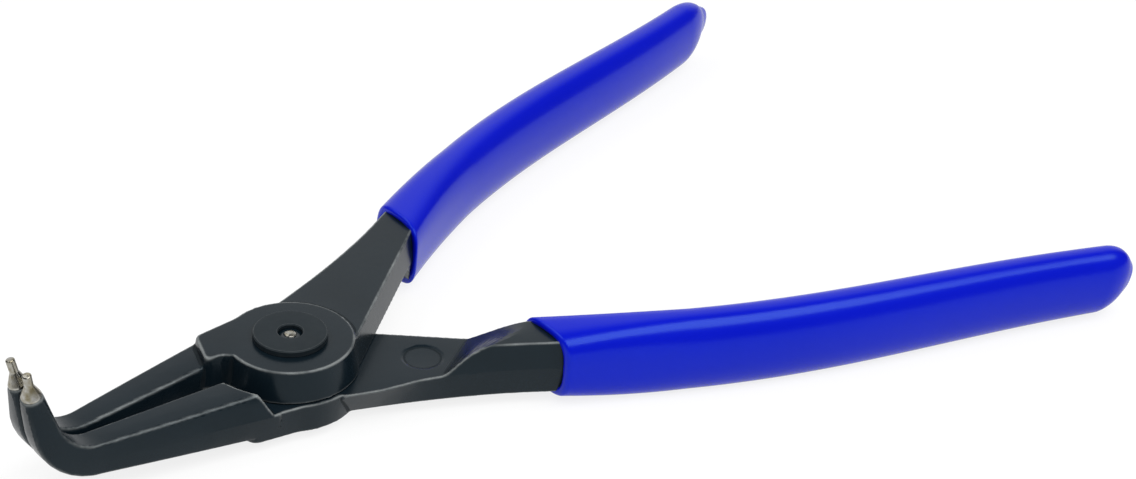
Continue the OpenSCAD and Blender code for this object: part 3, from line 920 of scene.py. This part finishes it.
class PLIERS_OT_grips(Operator):
    """Dips both handles in plastic along their middle lines"""

    bl_idname = "pliers.grips"
    bl_label = "Dipped grips"

    def execute(self, context):
        grip = context.scene.pliers_grip
        finish = dipped_plastic("dipped_plastic", grip)
        tree = grip_tree()
        samples = 2000
        upper = (1.0, grip.upper_mouth_lean, grip.upper_dome, grip.upper_drip)
        lower = (-1.0, 0.0, grip.lower_dome, grip.lower_drip)
        for node, body, (side, mouth_lean, dome, drip) in (
            ("upper_grip", "upper_arm", upper),
            ("lower_grip", "lower_arm", lower),
        ):
            points = [
                Vector((p[0], side * p[1], 0.0))
                for p in (grip.start, grip.start_handle, grip.end_handle, grip.end)
            ]
            line = [cubic(*points, k / samples) for k in range(samples + 1)]
            runs = np.cumsum([0.0] + [(b - a).length for a, b in zip(line, line[1:])])
            mouth = runs[next(k for k, p in enumerate(line) if p.x > grip.mouth_x)]
            mesh = run_group(tree, {
                "Start": points[0], "Start Pull": points[1],
                "End Pull": points[2], "End": points[3],
                "Mouth": mouth / runs[-1], "Length": runs[-1] - mouth,
                "Middle": PIVOT_Z + side * grip.lift,
                "Mouth Width": grip.mouth_w, "Mouth Height": grip.mouth_h,
                "Width": grip.width, "Height": grip.height,
                "End Width": grip.end_w, "End Height": grip.end_h,
                "Inner Width": grip.tang_w, "Inner Height": grip.tang_h,
                "Lip": grip.lip, "Swell": grip.swell,
                "Room End": grip.room_end, "Room Rounding": grip.room_round,
                "Dome": dome, "Lean": grip.lean, "Mouth Lean": mouth_lean, "Drip": drip,
                "Squareness": grip.squareness, "Mouth Share": grip.mouth_share,
                "Rings": grip.rings, "Points": grip.points, "Material": finish,
            })
            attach(new_piece(node + "_dip", mesh, node), body)
        return {"FINISHED"}


def spring_tree():
    """Tree of a wound wire: a coil and its straight ends, swept with a round section."""
    tree, given = new_group(
        "Wound wire",
        Float=("Coil", "Pitch", "Turns", "Start", "Leg", "Middle", "Wire"),
        Int=("Steps",),
        Material=("Material",),
    )
    leg_share = 0.06
    wire = add_field(tree, "GeometryNodeCurvePrimitiveLine")
    wire = add_field(
        tree, "GeometryNodeResampleCurve", {"mode": "COUNT"}, Curve=wire, Count=given["Steps"]
    )
    along = add_field(tree, "GeometryNodeSplineParameter", output="Factor")
    wound = ((along - leg_share) / (1.0 - 2.0 * leg_share)).clamped()
    low_leg = 1.0 - (along / leg_share).clamped()
    high_leg = ((along - (1.0 - leg_share)) / leg_share).clamped()
    bearing = given["Start"] + wound * given["Turns"] * math.tau
    rise = given["Pitch"] * given["Turns"] * (wound - 0.5)
    spot = add_field(
        tree, "ShaderNodeCombineXYZ",
        X=given["Coil"] * bearing.cos(), Y=given["Coil"] * bearing.sin(),
        Z=given["Middle"] + rise + given["Leg"] * (high_leg - low_leg),
    )
    wire = add_field(tree, "GeometryNodeSetPosition", Geometry=wire, Position=spot)
    section = add_field(
        tree, "GeometryNodeCurvePrimitiveCircle", Resolution=16, Radius=given["Wire"]
    )
    swept = add_field(
        tree, "GeometryNodeCurveToMesh", Curve=wire, Profile_Curve=section, Fill_Caps=True
    )
    finish_group(tree, swept, given["Material"])
    return tree


class PLIERS_OT_spring(Operator):
    """Winds the return spring inside the joint"""

    bl_idname = "pliers.spring"
    bl_label = "Return spring"

    def execute(self, context):
        joint = context.scene.pliers_joint
        mesh = run_group(spring_tree(), {
            "Coil": joint.coil_r, "Pitch": joint.coil_pitch, "Turns": joint.coil_turns,
            "Start": joint.coil_start, "Leg": joint.leg, "Middle": PIVOT_Z,
            "Wire": joint.wire_r, "Steps": joint.wire_steps,
            "Material": drawn_wire("drawn_wire", context.scene.pliers_steel),
        })
        wire = new_piece("return_spring_wire", mesh, "return_spring")
        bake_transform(wire)
        return {"FINISHED"}


# Stage


def soft_box(name, watts, spot, target, width, height):
    data = bpy.data.lights.new(name, "AREA")
    data.shape = "RECTANGLE"
    data.size = width
    data.size_y = height
    data.energy = watts
    lamp = bpy.data.objects.new(name, data)
    lamp.location = spot
    lamp.rotation_euler = (Vector(target) - Vector(spot)).to_track_quat("-Z", "Y").to_euler()
    bpy.context.scene.collection.objects.link(lamp)


def white_to_camera(tree, lit, output, strength, brightness=1.0):
    """Shows plain white to camera, glossy and transmission rays, and the lit look to the rest."""
    rays = add_node(tree, "ShaderNodeLightPath")
    seen = Field(tree, rays.outputs["Is Camera Ray"])
    for ray in ("Is Glossy Ray", "Is Transmission Ray"):
        seen = seen.math("MAXIMUM", Field(tree, rays.outputs[ray]))
    glow = add_node(tree, "ShaderNodeEmission", Strength=brightness)
    mix = add_node(tree, "ShaderNodeMixShader")
    feed(tree, seen * strength, mix.inputs[0])
    tree.links.new(lit, mix.inputs[1])
    tree.links.new(glow.outputs[0], mix.inputs[2])
    tree.links.new(mix.outputs[0], output)


def backdrop(tree, room):
    """White backdrop behind the object, fading to the dimmer room that shiny surfaces reflect."""
    behind, white_limit, fade = (0.53, 0.79, 0.3), 0.92, 0.4
    view = add_field(tree, "ShaderNodeTexCoord", output="Generated")
    facing = vector_math(tree, "DOT_PRODUCT", view, behind, output="Value")
    away = ((white_limit - facing) / fade).eased()
    mirrored = add_field(tree, "ShaderNodeLightPath", output="Is Glossy Ray")
    return 1.0 - away * mirrored * (1.0 - room)


def pale_floor(scene, stage):
    """Floor just under the lowest point, partly white by its own light."""
    half, gap, tone = 4.0, 0.15 * MM, 0.85
    z = cad_low.z - gap
    mesh = bpy.data.meshes.new("floor")
    corners = [(-half, -half, z), (half, -half, z), (half, half, z), (-half, half, z)]
    mesh.from_pydata(corners, [], [(0, 1, 2, 3)])
    floor = bpy.data.objects.new("floor", mesh)
    scene.collection.objects.link(floor)
    material, tree, shader = finish_tree("pale_floor")
    set_inputs(tree, shader, Base_Color=(tone, tone, tone, 1.0), Roughness=0.8)
    output = tree.nodes["Material Output"].inputs["Surface"]
    white_to_camera(tree, shader.outputs[0], output, stage.floor_light)
    mesh.materials.append(material)


def studio(scene, stage):
    """Even light all round, a white backdrop and two soft boxes."""
    world = bpy.data.worlds.new("studio")
    scene.world = world
    world.use_nodes = True
    tree = world.node_tree
    background = tree.nodes["Background"]
    set_inputs(tree, background, Color=(1.0, 1.0, 1.0, 1.0), Strength=stage.sky)
    output = tree.nodes["World Output"].inputs["Surface"]
    white_to_camera(tree, background.outputs[0], output, 1.0, backdrop(tree, stage.room))
    soft_box("key_box", stage.key, stage.key_place, stage.target, width=0.7, height=0.5)
    soft_box("front_box", stage.front, stage.front_place, stage.target, width=0.9, height=0.5)


def set_camera(scene, stage):
    a, e, r = stage.azimuth, stage.elevation, stage.roll
    back = Vector((math.sin(a) * math.cos(e), -math.cos(a) * math.cos(e), math.sin(e)))
    right = Vector((math.cos(a), math.sin(a), 0.0))
    up = back.cross(right)
    across = right * math.cos(r) + up * math.sin(r)
    above = up * math.cos(r) - right * math.sin(r)
    data = bpy.data.cameras.new("camera")
    data.sensor_fit = "HORIZONTAL"
    data.sensor_width = 36.0
    data.lens = stage.lens
    data.clip_start = 0.01
    camera = bpy.data.objects.new("camera", data)
    turn = Matrix((across, above, back)).transposed().to_4x4()
    camera.matrix_world = Matrix.Translation(Vector(stage.place)) @ turn
    scene.collection.objects.link(camera)
    scene.camera = camera


class PLIERS_OT_stage(Operator):
    """Sets the pale floor, the soft light and the camera"""

    bl_idname = "pliers.stage"
    bl_label = "Stage"

    def execute(self, context):
        scene = context.scene
        for part in (pale_floor, studio, set_camera):
            part(scene, scene.pliers_stage)
        scene.view_settings.view_transform = "Standard"
        return {"FINISHED"}


class PLIERS_PT_parts(Panel):
    """Lists the pieces of the pliers and their settings"""

    bl_label = "Pliers"
    bl_idname = "PLIERS_PT_parts"
    bl_space_type = "VIEW_3D"
    bl_region_type = "UI"
    bl_category = "Pliers"

    def draw(self, context):
        for operator in OPERATORS:
            self.layout.operator(operator.bl_idname)
        for name, group in SETTINGS.items():
            box = self.layout.box()
            box.label(text=name.replace("pliers_", "").capitalize())
            for key in group.__annotations__:
                box.prop(getattr(context.scene, name), key)


SETTINGS = {
    "pliers_steel": SteelSettings,
    "pliers_joint": JointSettings,
    "pliers_tip": TipSettings,
    "pliers_grip": GripSettings,
    "pliers_stage": StageSettings,
}
OPERATORS = (
    PLIERS_OT_forgings,
    PLIERS_OT_joint,
    PLIERS_OT_tips,
    PLIERS_OT_spring,
    PLIERS_OT_grips,
    PLIERS_OT_stage,
)


def register():
    for name, group in SETTINGS.items():
        bpy.utils.register_class(group)
        setattr(bpy.types.Scene, name, PointerProperty(type=group))
    for kind in (*OPERATORS, PLIERS_PT_parts):
        bpy.utils.register_class(kind)


def unregister():
    for kind in (PLIERS_PT_parts, *reversed(OPERATORS)):
        bpy.utils.unregister_class(kind)
    for name, group in reversed(SETTINGS.items()):
        delattr(bpy.types.Scene, name)
        bpy.utils.unregister_class(group)


def main():
    register()
    bpy.ops.pliers.forgings()
    bpy.ops.pliers.joint()
    bpy.ops.pliers.tips()
    bpy.ops.pliers.spring()
    bpy.ops.pliers.grips()
    bpy.ops.pliers.stage()


if __name__ == "__main__":
    main()
